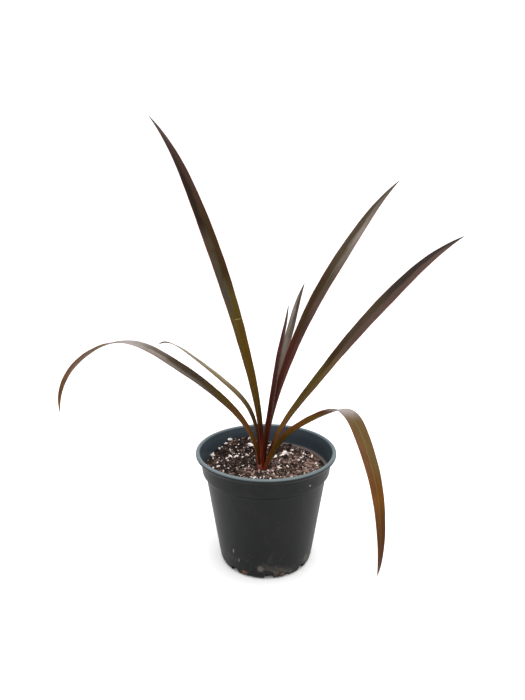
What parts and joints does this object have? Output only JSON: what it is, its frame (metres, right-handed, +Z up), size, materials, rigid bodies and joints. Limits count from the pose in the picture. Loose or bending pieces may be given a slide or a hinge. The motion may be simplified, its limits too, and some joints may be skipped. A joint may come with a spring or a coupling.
{
  "type": "potted red crinum lily",
  "caption": "Red-leaved crinum lily in a round black nursery pot: long strap leaves fan and arch out of a short neck that stands in perlite-flecked soil.",
  "frame": {"origin": "middle of the pot's flat underside, on the surface that the pot stands on", "axes": "+Z up, -Y toward the viewer of the picture, +X to the viewer's right"},
  "size_m": [0.3567, 0.2191, 0.3745],
  "materials": {
    "pot": "satin moulded plastic with dust and dried dirt near the foot",
    "soil": "crumbly peat and bark mix with white perlite grains",
    "bulb": "dry papery scales",
    "leaf_dark": "satin leaf, brown-purple above and olive low down, with fine lengthwise veins",
    "leaf_pale": "satin leaf, pale grey to yellow-green",
    "leaf_maroon": "satin leaf, deep maroon",
    "stub": "dried pinkish-red sheath"
  },
  "bodies": {
    "root": {"pot": "pot", "soil": "soil", "bulb": "bulb", "leaf_left_arching": "leaf_dark", "leaf_left_slender": "leaf_pale", "leaf_left_tall": "leaf_dark", "leaf_centre_maroon": "leaf_maroon", "leaf_centre_pale": "leaf_pale", "leaf_right_tall": "leaf_dark", "leaf_right_long": "leaf_dark", "leaf_right_hanging": "leaf_dark", "old_leaf_stub": "stub"}
  },
  "joints": []
}
